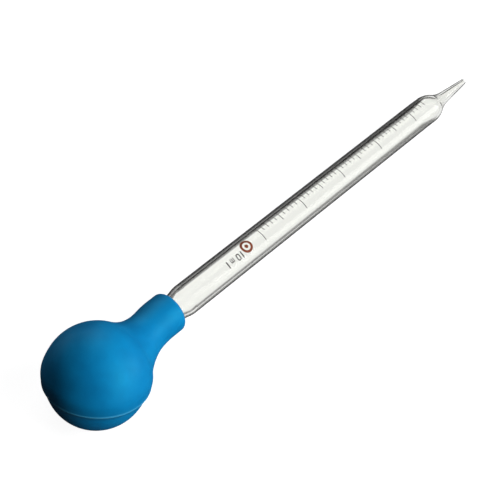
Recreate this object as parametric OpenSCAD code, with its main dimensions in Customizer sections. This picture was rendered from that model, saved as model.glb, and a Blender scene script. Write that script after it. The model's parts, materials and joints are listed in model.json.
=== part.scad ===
// Graduated 10 ml glass dropper with a round rubber bulb.
// It lies on a table: the bulb and the shoulder of the barrel touch the surface z = 0.
// The long axis leans down from the bulb (at -X) to the tip (at +X).
// Every sub-part is drawn upright about its own axis, with the centre of the bulb at the
// origin and the tip at +Z, and lay_down() then turns it into the resting place.

/* [Bulb] */
// Outer radius of the round bulb
bulb_r = 19.6; // [16:0.1:22]
// Thickness of the rubber wall
wall = 2.75; // [1.5:0.05:3.5]
// Radius of the hollow curve between the ball and the collar
throat_r = 20; // [12:0.5:24]
// Distance from the centre of the bulb to the open end of the collar
collar_end = 40.2; // [38:0.1:46]
// Rounding of the collar's open rim
rim_round = 1.4; // [0.4:0.1:1.4]

/* [Barrel] */
// Outer radius of the glass barrel
barrel_r = 6.3; // [5.5:0.05:7]
// Thickness of the glass wall
glass_wall = 1.2; // [0.8:0.05:1.6]
// Length of the narrowed glass mouth inside the collar
mouth_depth = 18; // [12:0.5:20]
// Distance from the centre of the bulb to the end of the tip
tip_end = 229.8; // [222:0.1:245]
// Outer radius of the tip at its open end
tip_r = 1.3; // [1.1:0.05:1.6]
// Radius of the hole in the tip
orifice_r = 0.5; // [0.3:0.05:0.7]

/* [Scale] */
// Full capacity in millilitres
capacity = 10; // [10]
// Distance from the centre of the bulb to the line for the full capacity
full_line = 88.6; // [86:0.1:90]
// Length of barrel that holds one millilitre
mm_per_ml = 12.35; // [12:0.05:12.6]
// Lowest volume that has a line of its own
lowest_ml = 1.2; // [1.2:0.2:2]
// How far the printed face is turned from straight up towards the front
print_turn = 31; // [0:1:60]

/* [Squeeze] */
// Radius of each flexing side wall of the bulb
cheek_r = 12.5; // [9:0.5:13]
// Gap around each flexing side wall
cheek_gap = 0.15; // [0.1:0.05:0.3]

/* [Hidden] */
$fn = 96;

// The collar grips the mouth of the glass with a hair of clearance.
fit_gap = 0.05;
mouth_r = 5.3;
collar_bore_r = mouth_r + fit_gap;
collar_r = collar_bore_r + wall;
throat_z = sqrt(pow(bulb_r + throat_r, 2) - pow(collar_r + throat_r, 2));

// The glass narrows over this stretch, just outside the collar.
neck_start = collar_end + 0.6;
neck_end = collar_end + 7.4;

// The shoulder is a round arc that turns into a hollow one, and then a slim cone.
shoulder_z = 201;
shoulder_r = 12.5;
hollow_r = 20;
shoulder_turn = 28;
cone_turn = 5;
arc_steps = 10;

print_rise = 0.03;
line_width = 0.3;

// The lean at which the bulb and the shoulder both touch the table
reach = norm([shoulder_z, barrel_r - shoulder_r]);
lean = asin((bulb_r - shoulder_r) / reach) - atan2(barrel_r - shoulder_r, shoulder_z);
// Half the length along the table puts the origin under the middle of the dropper.
centre_x = (bulb_r - tip_end * cos(lean) - tip_r * sin(lean)) / 2;

module lay_down() translate([centre_x, 0, bulb_r]) rotate([0, 90 + lean, 0]) children();

// Points of an arc about [cr, cz], from one angle to another in even steps
function arc(cr, cz, r, from, to) =
    [for (i = [0 : arc_steps]) let (a = from + (to - from) * i / arc_steps)
        [cr + r * cos(a), cz + r * sin(a)]];

// The shoulder and tip of a barrel of radius r; inset is the depth below the outer face.
function tip_points(inset, end_r) =
    let (r = barrel_r - inset,
         outer = shoulder_r - inset,
         inner = hollow_r + inset,
         turn_r = r - outer * (1 - cos(shoulder_turn)),
         turn_z = shoulder_z + outer * sin(shoulder_turn))
    concat(arc(r - outer, shoulder_z, outer, 0, shoulder_turn),
           arc(turn_r + inner * cos(shoulder_turn), turn_z + inner * sin(shoulder_turn),
               inner, 180 + shoulder_turn, 180 + cone_turn),
           [[end_r, tip_end]]);

// Smooth step from one radius to another, as points along the axis
function taper(r1, z1, r2, z2) =
    [for (i = [0 : arc_steps]) let (t = i / arc_steps, w = t * t * (3 - 2 * t))
        [r1 + (r2 - r1) * w, z1 + (z2 - z1) * t]];

// One side of the barrel wall, from the mouth to the tip, closed along the axis
module barrel_side(inset, end_r) {
    mouth_z = collar_end - mouth_depth;
    polygon(concat(
        [[0, mouth_z], [mouth_r - inset, mouth_z]],
        taper(mouth_r - inset, neck_start, barrel_r - inset, neck_end),
        tip_points(inset, end_r),
        [[0, tip_end]]));
}

module glass_barrel() color([0.82, 0.92, 0.9, 0.4]) lay_down()
    difference() {
        rotate_extrude() barrel_side(0, tip_r);
        rotate_extrude() union() {
            barrel_side(glass_wall, orifice_r);
            // The bore runs on past both open ends.
            translate([0, collar_end - mouth_depth - 1]) square([mouth_r - glass_wall, 3]);
            translate([0, tip_end - 1]) square([orifice_r, 2]);
        }
    }

// One printed line round part of the barrel, at height z, from one turn to another
module line(z, from, to)
    translate([0, 0, z - line_width / 2])
        rotate_extrude(start = 180 + print_turn + from, angle = to - from)
            translate([barrel_r, 0]) square([print_rise, line_width]);

// A long line at every 2 ml, a middle one at every odd millilitre, short ones at 0.2 ml
module scale_lines() color([0.3, 0.28, 0.25]) lay_down()
    for (step = [0 : round((capacity - lowest_ml) * 5)])
        line(full_line + step * mm_per_ml / 5, -52,
             step % 10 == 0 ? 12 : step % 5 == 0 ? -8 : -20);

// Wraps a flat drawing round the printed face: its x runs up the barrel, towards the bulb.
module printed(z, turn)
    intersection() {
        rotate([0, 0, 180 + print_turn + turn])
            translate([0, 0, z]) rotate([0, 90, 0]) linear_extrude(height = barrel_r + 1) children();
        difference() {
            cylinder(r = barrel_r + print_rise, h = full_line);
            translate([0, 0, -1]) cylinder(r = barrel_r, h = full_line + 2);
        }
    }

// An upright stroke of a printed character
module stroke(x, height, pen) translate([x, 0]) square([pen, height]);

// The arch of a small m
module arch(x, height, width, pen)
    translate([x + width / 2, height - width / 2]) difference() {
        circle(d = width);
        circle(d = width - 2 * pen);
        translate([-width, -width]) square([2 * width, width]);
    }

// Ring of a zero, longer than it is wide
module zero(x, height, width, pen) translate([x + width / 2, 0]) {
    for (end = [0, 1])
        translate([0, end ? height - width / 2 : width / 2]) difference() {
            circle(d = width);
            circle(d = width - 2 * pen);
            translate([-width, end ? -width : 0]) square([2 * width, width]);
        }
    for (side = [-width / 2, width / 2 - pen])
        translate([side, width / 2]) square([pen, height - width]);
}

// The capacity, "10 ml", reads along the barrel from the tip towards the bulb.
module capacity_mark() color([0.3, 0.28, 0.25]) lay_down()
    printed(full_line - 12.6, 0) translate([0, -1.5]) {
        stroke(0, 2.9, 0.4);
        zero(1.4, 2.9, 1.8, 0.35);
        for (x = [4.6, 5.35, 6.1]) stroke(x, 1.5, 0.3);
        for (x = [4.6, 5.35]) arch(x, 1.9, 1.05, 0.3);
        stroke(7.9, 2.9, 0.35);
    }

// A plain ring and dot, printed between the scale and the capacity
module round_badge() color([0.36, 0.16, 0.09]) lay_down()
    printed(full_line - 9, -14) {
        difference() {
            circle(r = 2.7);
            circle(r = 1.7);
        }
        circle(r = 0.8);
    }

// Outline of a ball that runs into a tube through a hollow throat
module ball_and_tube(ball_r, tube_r, hollow, length) {
    intersection() {
        circle(r = ball_r);
        translate([0, -ball_r]) square([ball_r, 2 * ball_r]);
    }
    difference() {
        polygon([[0, 0], [tube_r + hollow, throat_z], [0, throat_z]]);
        translate([tube_r + hollow, throat_z]) circle(r = hollow);
    }
    translate([0, throat_z - 1]) square([tube_r, length - throat_z + 1]);
}

// The whole rubber moulding, before its side walls are cut free
module rubber() rotate_extrude() difference() {
    union() {
        ball_and_tube(bulb_r, collar_r, throat_r, collar_end - rim_round);
        translate([0, collar_end - rim_round - 1]) square([collar_r - rim_round, rim_round + 1]);
        translate([collar_r - rim_round, collar_end - rim_round]) circle(r = rim_round);
    }
    ball_and_tube(bulb_r - wall, collar_bore_r, throat_r + wall, collar_end + 1);
}

// side is 1 at the back and -1 at the front
module cheek_plug(side, r) rotate([-90 * side, 0, 0]) cylinder(r = r, h = bulb_r + 1);

module bulb_body() color([0.03, 0.44, 0.7]) lay_down()
    difference() {
        rubber();
        for (side = [-1, 1]) cheek_plug(side, cheek_r + cheek_gap);
    }

module cheek(side) color([0.05, 0.5, 0.76]) lay_down()
    intersection() {
        difference() {
            sphere(r = bulb_r);
            sphere(r = bulb_r - wall);
        }
        cheek_plug(side, cheek_r);
    }

module bulb_thumb_wall() cheek(-1);
module bulb_finger_wall() cheek(1);

glass_barrel();
scale_lines();
capacity_mark();
round_badge();
bulb_body();
bulb_thumb_wall();
bulb_finger_wall();
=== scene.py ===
"""Graduated glass dropper with a blue rubber bulb, lying on a white surface."""
import json
import math

import bmesh
import bpy
import numpy as np
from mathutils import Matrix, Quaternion, Vector


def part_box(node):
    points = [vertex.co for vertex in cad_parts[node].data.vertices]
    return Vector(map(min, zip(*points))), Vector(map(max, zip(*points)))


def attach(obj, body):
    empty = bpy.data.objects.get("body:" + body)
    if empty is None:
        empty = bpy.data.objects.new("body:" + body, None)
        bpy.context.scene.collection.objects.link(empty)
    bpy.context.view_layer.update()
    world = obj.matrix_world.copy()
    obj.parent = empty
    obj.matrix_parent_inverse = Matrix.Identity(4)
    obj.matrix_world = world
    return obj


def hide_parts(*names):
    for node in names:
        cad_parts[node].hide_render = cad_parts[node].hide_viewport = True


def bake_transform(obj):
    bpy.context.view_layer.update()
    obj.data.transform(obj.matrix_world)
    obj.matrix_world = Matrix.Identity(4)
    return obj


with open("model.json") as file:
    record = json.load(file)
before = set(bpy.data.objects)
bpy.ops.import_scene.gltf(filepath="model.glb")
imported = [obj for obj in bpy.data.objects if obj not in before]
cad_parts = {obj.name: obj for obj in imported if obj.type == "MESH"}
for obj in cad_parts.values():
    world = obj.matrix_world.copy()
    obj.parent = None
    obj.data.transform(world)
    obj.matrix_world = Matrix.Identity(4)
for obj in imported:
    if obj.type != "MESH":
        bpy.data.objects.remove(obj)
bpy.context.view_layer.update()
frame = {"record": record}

MM = 0.001
WHITE = (1, 1, 1, 1)

# ---------------------------------------------------------------- sizes of the glass
# Radii and stations are in millimetres, and turns are in degrees.
BARREL_R = 6.3
GLASS_WALL = 1.2
MOUTH_R = 5.3
MOUTH_END = 22.2
NECK = (40.8, 47.6)
SHOULDER = 201.0
SHOULDER_R = 12.5
HOLLOW_R = 20.0
SHOULDER_TURN = 28.0
CONE_TURN = 5.0
TIP_END = 229.8
TIP_R = 1.3
ORIFICE_R = 0.5
TIP_ASIDE = 0.45
AROUND = 192

# ---------------------------------------------------------------- the dropper's own axis
# Stations are millimetres along the barrel from the centre of the bulb towards the tip.
BULB_R = 19.6
MOUNT = next(m for m in frame["record"]["mounts"] if m["name"] == "barrel")
ALONG = Vector(MOUNT["axis"]).normalized()
LOW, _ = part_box("bulb_body")
BULB_CENTRE = Vector((LOW.x + BULB_R * MM, 0.0, LOW.z + BULB_R * MM))
FRONT = Vector((0.0, 1.0, 0.0))
DOWN = FRONT.cross(ALONG)


def lay_down(points):
    """Points in millimetres about the upright axis -> metres where the dropper lies."""
    p = np.asarray(points, float).reshape(-1, 3) * MM
    turn = np.array([DOWN, FRONT, ALONG])
    return p @ turn + np.array(BULB_CENTRE)


def on_axis(x, y, z):
    return Vector(lay_down([(x, y, z)])[0])


# ---------------------------------------------------------------- mesh helpers
def new_object(name, points, faces, smooth=True):
    mesh = bpy.data.meshes.new(name)
    mesh.from_pydata([tuple(p) for p in lay_down(points)], [], faces)
    mesh.validate()
    mesh.update()
    obj = bpy.data.objects.new(name, mesh)
    bpy.context.scene.collection.objects.link(obj)
    bm = bmesh.new()
    bm.from_mesh(mesh)
    bmesh.ops.recalc_face_normals(bm, faces=bm.faces)
    bm.to_mesh(mesh)
    bm.free()
    for polygon in mesh.polygons:
        polygon.use_smooth = smooth
    return obj


def ease(t):
    t = min(max(t, 0.0), 1.0)
    return t * t * (3 - 2 * t)


def arc(cr, cz, r, start, end, steps):
    """Points of an arc about (cr, cz), from one angle to another in degrees."""
    angles = np.radians(np.linspace(start, end, steps + 1))
    return [(cr + r * math.cos(a), cz + r * math.sin(a)) for a in angles]


def straight(a, b, steps):
    """Points from a to b in even steps, without a itself."""
    return [(a[0] + (b[0] - a[0]) * i / steps, a[1] + (b[1] - a[1]) * i / steps)
            for i in range(1, steps + 1)]


def lathe(name, loop, around, aside=lambda z: 0.0):
    """Closed ring from a closed (radius, station) loop turned about the axis.

    aside gives how far each station is bent towards the front.
    """
    n = len(loop)
    points, faces = [], []
    for j in range(around):
        a = 2 * math.pi * j / around
        points += [(r * math.cos(a), r * math.sin(a) - aside(z), z) for r, z in loop]
    for j in range(around):
        k = (j + 1) % around
        for i in range(n):
            m = (i + 1) % n
            faces.append((j * n + i, j * n + m, k * n + m, k * n + i))
    return new_object(name, points, faces)


# ---------------------------------------------------------------- node helpers
def material(name):
    mat = bpy.data.materials.new(name)
    mat.use_nodes = True
    mat.node_tree.nodes.clear()
    return mat, mat.node_tree


def node(tree, kind, **inputs):
    made = tree.nodes.new(kind)
    for key, value in inputs.items():
        made.inputs[key.replace("_", " ")].default_value = value
    return made


def noise(tree, coords, scale, detail=3.0, roughness=0.5):
    n = tree.nodes.new("ShaderNodeTexNoise")
    n.inputs["Scale"].default_value = scale
    n.inputs["Detail"].default_value = detail
    n.inputs["Roughness"].default_value = roughness
    tree.links.new(coords, n.inputs["Vector"])
    return n.outputs["Fac"]


def ramp(tree, fac, *stops):
    r = tree.nodes.new("ShaderNodeValToRGB")
    while len(r.color_ramp.elements) < len(stops):
        r.color_ramp.elements.new(0.5)
    for element, (position, colour) in zip(r.color_ramp.elements, stops):
        element.position = position
        element.color = (*colour, 1.0)
    tree.links.new(fac, r.inputs["Fac"])
    return r.outputs["Color"]


def math_node(tree, operation, a, b):
    m = tree.nodes.new("ShaderNodeMath")
    m.operation = operation
    for socket, value in zip(m.inputs, (a, b)):
        if isinstance(value, (int, float)):
            socket.default_value = value
        else:
            tree.links.new(value, socket)
    return m.outputs["Value"]


def bump(tree, height, strength, distance):
    b = tree.nodes.new("ShaderNodeBump")
    b.inputs["Strength"].default_value = strength
    b.inputs["Distance"].default_value = distance
    tree.links.new(height, b.inputs["Height"])
    return b.outputs["Normal"]


def object_coords(tree):
    return tree.nodes.new("ShaderNodeTexCoord").outputs["Object"]


def principled(tree, **values):
    p = tree.nodes.new("ShaderNodeBsdfPrincipled")
    for key, value in values.items():
        p.inputs[key.replace("_", " ")].default_value = value
    out = tree.nodes.new("ShaderNodeOutputMaterial")
    tree.links.new(p.outputs["BSDF"], out.inputs["Surface"])
    return p


# ---------------------------------------------------------------- materials
CLEAR = (0.93, 0.935, 0.91)
# Painted shade that the glass edges turn to: grey, then near black
EDGE_SHADE_GREY = (0.12, 0.12, 0.115)
EDGE_SHADE_BLACK = (0.006, 0.006, 0.006)
# How much the painted edge shade is narrowed on the shoulder, on the nozzle and at the front of the
# tube
SHOULDER_SHADE_THIN = 0.66
NOZZLE_SHADE_THIN = 0.78
FRONT_SHADE_THIN = 0.79


def grey(value):
    return (value,) * 3


def clear_glass():
    """Colourless laboratory glass with painted shade at its edges, darker where the surface turns away
    from view, and the faint waviness of drawn tube.
    """
    mat, tree = material("barrel_glass")
    p = principled(tree, Roughness=0.0, IOR=1.47, Transmission_Weight=1.0,
                   Specular_Tint=(0.12, 0.12, 0.12, 1))
    coords = object_coords(tree)
    # The painted edge shade is thinner on the drawn shoulder and nozzle than on the straight barrel.
    place = tree.nodes.new("ShaderNodeSeparateXYZ")
    tree.links.new(coords, place.inputs[0])
    along = tree.nodes.new("ShaderNodeMapRange")
    along.inputs["From Min"].default_value = on_axis(0, 0, SHOULDER - 4).x
    along.inputs["From Max"].default_value = on_axis(0, 0, SHOULDER + 20).x
    tree.links.new(place.outputs["X"], along.inputs["Value"])
    narrow = ramp(tree, along.outputs["Result"], (0.0, grey(1.0)), (0.35, grey(SHOULDER_SHADE_THIN)),
                  (0.6, grey(SHOULDER_SHADE_THIN)), (0.9, grey(NOZZLE_SHADE_THIN)))
    # The painted edge shade is narrower at the front of the tube than at the back, following how the
    # light falls.
    side = tree.nodes.new("ShaderNodeMapRange")
    side.inputs["From Min"].default_value = -3 * MM
    side.inputs["From Max"].default_value = 2 * MM
    side.inputs["To Min"].default_value = FRONT_SHADE_THIN
    tree.links.new(place.outputs["Y"], side.inputs["Value"])
    # The nozzle is too slim for the difference to show.
    thin = math_node(tree, "MAXIMUM", side.outputs["Result"], along.outputs["Result"])
    facing = tree.nodes.new("ShaderNodeLayerWeight").outputs["Facing"]
    thinning = math_node(tree, "MULTIPLY", narrow, thin)
    edge = math_node(tree, "MULTIPLY", facing, thinning)
    # Painted shade: towards its edges the glass turns grey, then near black
    painted_edge_shade = ramp(tree, edge, (0.385, CLEAR), (0.455, EDGE_SHADE_GREY), (0.6, EDGE_SHADE_BLACK))
    tree.links.new(painted_edge_shade, p.inputs["Base Color"])
    waves = noise(tree, coords, 60.0, 1.0)
    tree.links.new(bump(tree, waves, 0.05, 0.0002), p.inputs["Normal"])
    return mat


# How much painted highlight each point of the bulb takes, 0 on plain skin and near 1 along the seam of
# the mould
SEAM_HIGHLIGHT_AMOUNT = "seam_highlight_amount"
# Lighter blue of the painted highlight along the seam ridge
SEAM_HIGHLIGHT_COLOUR = (0.07, 0.4, 0.66, 1)
# Sockets of a Mix node that are used when it mixes colours
MIX_A, MIX_B, MIX_RESULT = 6, 7, 2


def rubber():
    """Moulded blue rubber: satin, slightly mottled, with a fine matt grain and a painted highlight
    along the mould seam.
    """
    mat, tree = material("bulb_rubber")
    p = principled(tree, IOR=1.5, Specular_IOR_Level=0.28, Specular_Tint=(0.05, 0.95, 1.0, 1))
    coords = object_coords(tree)
    mottle = noise(tree, coords, 90.0, 4.0, 0.6)
    colour = ramp(tree, mottle, (0.3, (0.0025, 0.178, 0.43)),
                  (0.7, (0.0035, 0.232, 0.525)))
    seam = tree.nodes.new("ShaderNodeAttribute")
    seam.attribute_name = SEAM_HIGHLIGHT_AMOUNT
    # Painted highlight: the seam is mixed towards a lighter blue
    painted_seam_highlight = tree.nodes.new("ShaderNodeMix")
    painted_seam_highlight.data_type = "RGBA"
    tree.links.new(seam.outputs["Fac"], painted_seam_highlight.inputs["Factor"])
    tree.links.new(colour, painted_seam_highlight.inputs[MIX_A])
    painted_seam_highlight.inputs[MIX_B].default_value = SEAM_HIGHLIGHT_COLOUR
    tree.links.new(painted_seam_highlight.outputs[MIX_RESULT], p.inputs["Base Color"])
    rough = ramp(tree, noise(tree, coords, 240.0, 3.0), (0.25, grey(0.40)), (0.75, grey(0.52)))
    tree.links.new(rough, p.inputs["Roughness"])
    grain = noise(tree, coords, 2600.0, 2.0)
    tree.links.new(bump(tree, grain, 0.25, 0.00006), p.inputs["Normal"])
    return mat


def enamel(name, dark, light):
    """Thin fired print, a little uneven in density."""
    mat, tree = material(name)
    p = principled(tree, IOR=1.5, Specular_IOR_Level=0.2)
    coords = object_coords(tree)
    density = noise(tree, coords, 1500.0, 3.0, 0.6)
    tree.links.new(ramp(tree, density, (0.35, dark), (0.7, light)), p.inputs["Base Color"])
    rough = ramp(tree, noise(tree, coords, 900.0), (0.3, grey(0.45)), (0.7, grey(0.65)))
    tree.links.new(rough, p.inputs["Roughness"])
    return mat


GLASS = clear_glass()
RUBBER = rubber()
GREY = enamel("print_grey", (0.03, 0.027, 0.024), (0.07, 0.062, 0.055))
BROWN = enamel("print_brown", (0.17, 0.04, 0.018), (0.27, 0.07, 0.03))


def finish_piece(obj, mat, slot, body, *nodes):
    obj.data.materials.clear()
    obj.data.materials.append(mat)
    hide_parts(*nodes)
    if body:
        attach(obj, body)


# ---------------------------------------------------------------- glass barrel
def barrel_side(inset, end_r, end_z):
    """Outline of one face of the glass, from the mouth to the tip."""
    r = BARREL_R - inset
    outer, inner = SHOULDER_R - inset, HOLLOW_R + inset
    turn = math.radians(SHOULDER_TURN)
    turn_r = r - outer * (1 - math.cos(turn))
    turn_z = SHOULDER + outer * math.sin(turn)
    mouth = (MOUTH_R - inset, MOUTH_END + 0.5)
    side = [mouth] + straight(mouth, (mouth[0], NECK[0]), 6)
    side += [(mouth[0] + (r - mouth[0]) * ease(i / 24), NECK[0] + (NECK[1] - NECK[0]) * i / 24)
             for i in range(1, 25)]
    side += straight(side[-1], (r, SHOULDER), 30)
    side += arc(r - outer, SHOULDER, outer, 0, SHOULDER_TURN, 24)[1:]
    side += arc(turn_r + inner * math.cos(turn), turn_z + inner * math.sin(turn), inner,
                180 + SHOULDER_TURN, 180 + CONE_TURN, 20)[1:]
    side += straight(side[-1], (end_r, end_z), 10)
    return side


def make_barrel():
    lip = (TIP_R - ORIFICE_R) / 2
    outside = barrel_side(0, TIP_R, TIP_END - lip)
    inside = barrel_side(GLASS_WALL, ORIFICE_R, TIP_END - lip)
    tip = arc((TIP_R + ORIFICE_R) / 2, TIP_END - lip, lip, 0, 180, 10)[1:-1]
    half = GLASS_WALL / 2
    mouth = [(MOUTH_R - half + half * math.cos(a), MOUTH_END + 0.5 + 0.5 * math.sin(a))
             for a in np.radians(np.linspace(180, 360, 13))][1:-1]
    return lathe("dropper_glass", outside + tip + inside[::-1] + mouth, AROUND,
                 lambda z: TIP_ASIDE * ease((z - SHOULDER + 4) / 14))


finish_piece(make_barrel(), GLASS, "clear_glass", "glass", "glass_barrel")

# ---------------------------------------------------------------- printed scale
FULL_LINE = 88.6
LINE_STEP = 12.35 / 5
LINES = 45
LINE_WIDTH = 0.3
PRINT_TURN = 180 + 31
PRINT_LOW = BARREL_R + 0.006
PRINT_HIGH = BARREL_R + 0.03
# Where each kind of line starts and ends, in degrees from the middle of the printed face
LINE_START = -52
LONG_END, MIDDLE_END, SHORT_END = 12, -8, -20
BADGE_AT = FULL_LINE - 9
BADGE_TURN = -14
BADGE_R, BADGE_HOLE_R, BADGE_DOT_R = 2.7, 1.7, 0.8
MARK_AT = FULL_LINE - 12.6
MARK_LOW = -1.5
MARK_HEIGHT = 2.9


def curved_patch(points, faces, corners_z, corners_a):
    """Adds one thin closed band round the glass, between two stations and two turns in degrees."""
    (z0, z1), (a0, a1) = corners_z, corners_a
    steps = max(2, int(abs(a1 - a0) / 2))
    base = len(points)
    for i in range(steps + 1):
        a = math.radians(a0 + (a1 - a0) * i / steps)
        for r in (PRINT_LOW, PRINT_HIGH):
            for z in (z0, z1):
                points.append((r * math.cos(a), r * math.sin(a), z))
    for i in range(steps):
        q = base + 4 * i
        faces += [(q, q + 4, q + 5, q + 1), (q + 2, q + 3, q + 7, q + 6),
                  (q, q + 2, q + 6, q + 4), (q + 1, q + 5, q + 7, q + 3)]
    q = base + 4 * steps
    faces += [(base, base + 1, base + 3, base + 2), (q, q + 2, q + 3, q + 1)]


def make_scale():
    points, faces = [], []
    for step in range(LINES):
        z = FULL_LINE + step * LINE_STEP
        end = LONG_END if step % 10 == 0 else MIDDLE_END if step % 5 == 0 else SHORT_END
        curved_patch(points, faces, (z - LINE_WIDTH / 2, z + LINE_WIDTH / 2),
                     (PRINT_TURN + LINE_START, PRINT_TURN + end))
    return new_object("scale_print", points, faces, smooth=False)


def wrap_outline(points, faces, outline, z, turn, holes=()):
    """Adds a flat outline, thickened and wrapped on the printed face; its x runs towards the bulb."""
    bm = bmesh.new()
    loops = [outline, *holes]
    for loop in loops:
        made = [bm.verts.new((x, y, 0)) for x, y in loop]
        for a, b in zip(made, made[1:] + made[:1]):
            bm.edges.new((a, b))
    bmesh.ops.triangle_fill(bm, edges=bm.edges, use_beauty=True)
    bm.verts.index_update()
    flat = [(v.co.x, v.co.y) for v in bm.verts]
    tris = [tuple(v.index for v in f.verts) for f in bm.faces]
    bm.free()
    base, n = len(points), len(flat)
    for r in (PRINT_LOW, PRINT_HIGH):
        for x, y in flat:
            a = math.radians(PRINT_TURN + turn) + y / BARREL_R
            points.append((r * math.cos(a), r * math.sin(a), z - x))
    for t in tris:
        faces.append(tuple(base + i for i in t))
        faces.append(tuple(base + n + i for i in reversed(t)))
    start = 0
    for loop in loops:
        m = len(loop)
        for i in range(m):
            a, b = base + start + i, base + start + (i + 1) % m
            faces.append((a, b, b + n, a + n))
        start += m


def ring(r, steps=48, cx=0.0, cy=0.0, stretch=0.0):
    """Points of a circle, or of a long round shape when stretch moves its ends apart along y."""
    loop = []
    for i in range(steps):
        a = 2 * math.pi * i / steps
        y = r * math.sin(a)
        loop.append((cx + r * math.cos(a), cy + y + (stretch if y >= 0 else -stretch)))
    return loop


def bar(x, y, width, height):
    """A rectangle with points along its sides, so that it can follow the glass."""
    corners = [(x, y), (x + width, y), (x + width, y + height), (x, y + height)]
    loop = []
    for a, b in zip(corners, corners[1:] + corners[:1]):
        loop += [a] + straight(a, b, 4)[:-1]
    return loop


def make_badge():
    points, faces = [], []
    wrap_outline(points, faces, ring(BADGE_R, 64), BADGE_AT, BADGE_TURN,
                 holes=[ring(BADGE_HOLE_R, 48)])
    wrap_outline(points, faces, ring(BADGE_DOT_R, 32), BADGE_AT, BADGE_TURN)
    return new_object("badge_print", points, faces, smooth=False)


def make_capacity():
    """The capacity mark, 10 ml, reading from the tip towards the bulb."""
    points, faces = [], []
    z, low, middle = MARK_AT, MARK_LOW, MARK_LOW + MARK_HEIGHT / 2
    wrap_outline(points, faces, bar(0, low, 0.5, MARK_HEIGHT), z, 0)
    wrap_outline(points, faces, ring(0.9, 32, 2.3, middle, 0.55), z, 0,
                 holes=[ring(0.48, 24, 2.3, middle, 0.55)])
    for x in (4.6, 5.35, 6.1):
        wrap_outline(points, faces, bar(x, low, 0.3, 1.5), z, 0)
    wrap_outline(points, faces, bar(4.6, low + 1.5, 1.8, 0.35), z, 0)
    wrap_outline(points, faces, bar(7.9, low, 0.5, MARK_HEIGHT), z, 0)
    return new_object("capacity_print", points, faces, smooth=False)


finish_piece(make_scale(), GREY, "grey_enamel", "glass", "scale_lines")
finish_piece(make_badge(), BROWN, "brown_enamel", "glass", "round_badge")
finish_piece(make_capacity(), GREY, "grey_enamel", "glass", "capacity_mark")

# ---------------------------------------------------------------- rubber bulb
WALL = 2.75
THROAT_R = 20.0
COLLAR_END = 40.2
RIM_ROUND = 1.9
BORE_R = 5.35
COLLAR_R = BORE_R + WALL
THROAT_Z = math.sqrt((BULB_R + THROAT_R) ** 2 - (COLLAR_R + THROAT_R) ** 2)
# The ball sits this far to the front of the collar. Each face of the wall runs back into line
# from the first station, over the second length.
SAG = 2.2
SKIN_IN_LINE = (16, 18)
LINING_IN_LINE = (6, 15.5)
SEAM_NORMAL = Vector((-0.27, -0.071, -0.96)).normalized()
SEAM_AT = 2.46
SEAM_WIDTH = 0.5
SEAM_STRENGTH = 0.95
# Extra cuts across the skin near the seam, so that its ridge and swelling have points to move
SEAM_CUTS = (-1.2, -0.9, -0.65, -0.45, -0.3, -0.15, 0.0, 0.15, 0.3, 0.45, 0.65, 0.9, 1.2, 1.8, 2.4, 3.0)
# The seam fades out on the throat, from this station, over this length.
SEAM_FADE = (11, 6)
CUT_ANGLE = 40


def bulb_side(ball_r, tube_r, hollow, ball_steps, throat_steps):
    """Outline from the closed end of the ball, through the throat, to the start of the collar."""
    meet = math.degrees(math.atan2(THROAT_Z, tube_r + hollow))
    side = arc(0, 0, ball_r, -90, meet, ball_steps)
    side[0] = (0.0, -ball_r)
    side += arc(tube_r + hollow, THROAT_Z, hollow, 180 + meet, 180, throat_steps)[1:]
    return side


def make_half(name, side):
    """Half of the hollow bulb, closed where it meets the other half; side is 1 at the back."""
    outer = bulb_side(BULB_R, COLLAR_R, THROAT_R, 72, 24)
    outer += straight(outer[-1], (COLLAR_R, COLLAR_END - RIM_ROUND), 8)
    outer += arc(COLLAR_R - RIM_ROUND, COLLAR_END - RIM_ROUND, RIM_ROUND, 0, 90, 8)[1:]
    lip = (BORE_R + 0.3, COLLAR_END)
    outer += straight(outer[-1], lip, 3)
    inner = bulb_side(BULB_R - WALL, BORE_R, THROAT_R + WALL, 72, 24)
    inner += straight(inner[-1], (BORE_R, COLLAR_END - 0.3), 18)
    inner.append(lip)
    n, around = len(outer), 128
    points, index = [], {}
    for layer, path in enumerate((outer, inner)):
        for i, (r, z) in enumerate(path):
            for j in range(around + 1):
                key = (layer, i, 0 if i == 0 else j)
                if layer == 1 and i == n - 1:
                    index[(1, i, j)] = index[(0, i, j)]
                    continue
                if key not in index:
                    a = math.pi * j / around
                    start, length = SKIN_IN_LINE if layer == 0 else LINING_IN_LINE
                    sag = SAG * (1 - ease((z - start) / length))
                    index[key] = len(points)
                    points.append((r * math.cos(a), side * r * math.sin(a) - sag, z))
                index[(layer, i, j)] = index[key]
    faces = []
    for layer in (0, 1):
        for i in range(n - 1):
            for j in range(around):
                quad = [index[(layer, i, j)], index[(layer, i + 1, j)],
                        index[(layer, i + 1, j + 1)], index[(layer, i, j + 1)]]
                faces.append(tuple(dict.fromkeys(quad)))
    for j in (0, around):
        for i in range(n - 1):
            quad = [index[(0, i, j)], index[(0, i + 1, j)], index[(1, i + 1, j)], index[(1, i, j)]]
            faces.append(tuple(dict.fromkeys(quad)))
    return new_object(name, points, faces)


def seam_height(d):
    """How far the skin stands proud of the round ball, d millimetres below the seam."""
    ridge = 0.2 * math.exp(-(d / 0.4) ** 2)
    swell = 0.32 * math.exp(-((d + 4.5) / 3) ** 2)
    drawn_in = 0.65 * ease((d + 1.2) / 4.2) * math.exp(-((max(d, 3) - 3) / 10) ** 2)
    return ridge + swell - drawn_in


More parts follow.
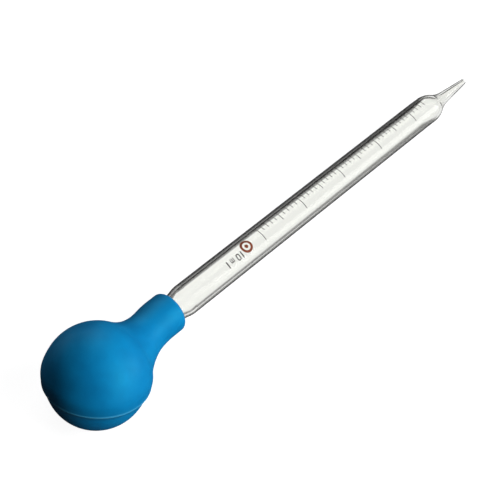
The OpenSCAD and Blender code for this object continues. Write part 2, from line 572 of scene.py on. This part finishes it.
def mould_seam(obj):
    """Swells the skin above the line where the two halves of the mould met, draws it in below, and
    stores where the painted highlight lies along the seam.
    """
    ball = on_axis(0, -SAG, 0)
    bm = bmesh.new()
    bm.from_mesh(obj.data)
    line = bm.verts.layers.float.new(SEAM_HIGHLIGHT_AMOUNT)
    for offset in SEAM_CUTS:
        geom = [*bm.verts, *bm.edges, *bm.faces]
        cut = ball + SEAM_NORMAL * (SEAM_AT + offset) * MM
        bmesh.ops.bisect_plane(bm, geom=geom, plane_co=cut, plane_no=SEAM_NORMAL, dist=1e-6)
    for v in bm.verts:
        arm = v.co - ball
        if arm.length < (BULB_R - 1) * MM:
            continue
        station = (v.co - BULB_CENTRE).dot(ALONG) / MM
        fade = 1 - ease((station - SEAM_FADE[0]) / SEAM_FADE[1])
        d = arm.dot(SEAM_NORMAL) / MM - SEAM_AT
        # How much painted highlight this point of the seam takes
        v[line] = SEAM_STRENGTH * fade * math.exp(-(d / SEAM_WIDTH) ** 2)
        v.co += arm.normalized() * fade * seam_height(d) * MM
    bm.to_mesh(obj.data)
    bm.free()


def sharpen_cut(obj):
    """Keeps the flat face between the two halves from bending the smooth shading."""
    bm = bmesh.new()
    bm.from_mesh(obj.data)
    for e in bm.edges:
        if len(e.link_faces) == 2:
            e.smooth = e.calc_face_angle(0) < math.radians(CUT_ANGLE)
    bm.to_mesh(obj.data)
    bm.free()
    for polygon in obj.data.polygons:
        polygon.use_smooth = True


for name, side, body, cad in (("bulb_front_half", -1, "thumb_wall", "bulb_thumb_wall"),
                              ("bulb_back_half", 1, "finger_wall", "bulb_finger_wall")):
    half = make_half(name, side)
    mould_seam(half)
    sharpen_cut(half)
    finish_piece(half, RUBBER, "blue_rubber", None, "bulb_body", cad)
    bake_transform(half)

# ---------------------------------------------------------------- floor, light and camera
FLOOR_REACH = 6.0
SOFTBOX_SIZE = 0.7
SOFTBOX_DISTANCE = 1.2
# Name, azimuth and elevation in degrees, and power in watts
SOFTBOXES = (("front_low", 5, 8, 9.5), ("right_low", 45, 8, 7.0), ("front_high", 20, 38, 8.5),
             ("back_low", 180, 8, 0.8), ("back_high", 140, 38, 2.4), ("top", 120, 68, 2.3))
CAMERA_LENS = 90.65
CAMERA_AZIMUTH, CAMERA_ELEVATION, CAMERA_ROLL = -48.6, 49.08, 0.11
CAMERA_AIM = 92.7
# The camera's place in millimetres from the point it aims at: to its right, up and back
CAMERA_OFFSET = Vector((-5.588, -5.04, 495.7))


def towards(azimuth, elevation):
    """Direction from the dropper. Azimuth 0 is the front, and 90 the side of the tip."""
    a, e = math.radians(azimuth), math.radians(elevation)
    return Vector((math.sin(a) * math.cos(e), -math.cos(a) * math.cos(e), math.sin(e)))


def make_floor():
    mesh = bpy.data.meshes.new("floor")
    corners = [(x * FLOOR_REACH, y * FLOOR_REACH, 0) for x, y in ((-1, -1), (1, -1), (1, 1), (-1, 1))]
    mesh.from_pydata(corners, [], [(0, 1, 2, 3)])
    floor = bpy.data.objects.new("floor", mesh)
    bpy.context.scene.collection.objects.link(floor)
    mat, tree = material("floor")
    path = tree.nodes.new("ShaderNodeLightPath")
    diffuse = node(tree, "ShaderNodeBsdfDiffuse", Color=(0.35, 0.35, 0.35, 1))
    glow = node(tree, "ShaderNodeEmission", Color=WHITE, Strength=0.9)
    add = tree.nodes.new("ShaderNodeAddShader")
    tree.links.new(diffuse.outputs[0], add.inputs[0])
    tree.links.new(glow.outputs[0], add.inputs[1])
    dim = node(tree, "ShaderNodeBsdfDiffuse", Color=(0.06, 0.06, 0.06, 1))
    even = node(tree, "ShaderNodeEmission", Color=WHITE, Strength=1.0)
    shader = dim
    for ray, seen in (("Is Transmission Ray", even), ("Is Camera Ray", add)):
        mix = tree.nodes.new("ShaderNodeMixShader")
        tree.links.new(path.outputs[ray], mix.inputs[0])
        tree.links.new(shader.outputs[0], mix.inputs[1])
        tree.links.new(seen.outputs[0], mix.inputs[2])
        shader = mix
    out = tree.nodes.new("ShaderNodeOutputMaterial")
    tree.links.new(shader.outputs[0], out.inputs["Surface"])
    mesh.materials.append(mat)


def make_world():
    world = bpy.data.worlds.new("studio")
    bpy.context.scene.world = world
    world.use_nodes = True
    tree = world.node_tree
    tree.nodes.clear()
    path = tree.nodes.new("ShaderNodeLightPath")
    white = node(tree, "ShaderNodeBackground", Color=WHITE, Strength=1.0)
    room = node(tree, "ShaderNodeBackground", Color=(0.02, 0.02, 0.02, 1), Strength=1.0)
    mix = tree.nodes.new("ShaderNodeMixShader")
    tree.links.new(path.outputs["Is Camera Ray"], mix.inputs[0])
    tree.links.new(room.outputs[0], mix.inputs[1])
    tree.links.new(white.outputs[0], mix.inputs[2])
    out = tree.nodes.new("ShaderNodeOutputWorld")
    tree.links.new(mix.outputs[0], out.inputs["Surface"])


def softbox(name, azimuth, elevation, power):
    """A square soft light that faces the dropper."""
    light = bpy.data.lights.new(name, "AREA")
    light.size = SOFTBOX_SIZE
    light.energy = power
    obj = bpy.data.objects.new(name, light)
    bpy.context.scene.collection.objects.link(obj)
    back = towards(azimuth, elevation)
    obj.location = back * SOFTBOX_DISTANCE
    obj.rotation_mode = "QUATERNION"
    obj.rotation_quaternion = back.to_track_quat("Z", "Y")


def make_camera():
    cam = bpy.data.cameras.new("camera")
    cam.sensor_width = 36.0
    cam.lens = CAMERA_LENS
    cam.clip_start, cam.clip_end = 0.01, 20.0
    obj = bpy.data.objects.new("camera", cam)
    bpy.context.scene.collection.objects.link(obj)
    facing = (-towards(CAMERA_AZIMUTH, CAMERA_ELEVATION)).to_track_quat("-Z", "Y")
    aim = on_axis(0, 0, CAMERA_AIM)
    offset = facing @ CAMERA_OFFSET
    obj.rotation_mode = "QUATERNION"
    obj.rotation_quaternion = facing @ Quaternion((0, 0, 1), math.radians(CAMERA_ROLL))
    obj.location = aim + offset * MM
    bpy.context.scene.camera = obj


make_floor()
make_world()
for box in SOFTBOXES:
    softbox(*box)
make_camera()
bpy.context.scene.view_settings.view_transform = "Standard"
bpy.context.scene.cycles.max_bounces = 16
bpy.context.scene.cycles.transmission_bounces = 16
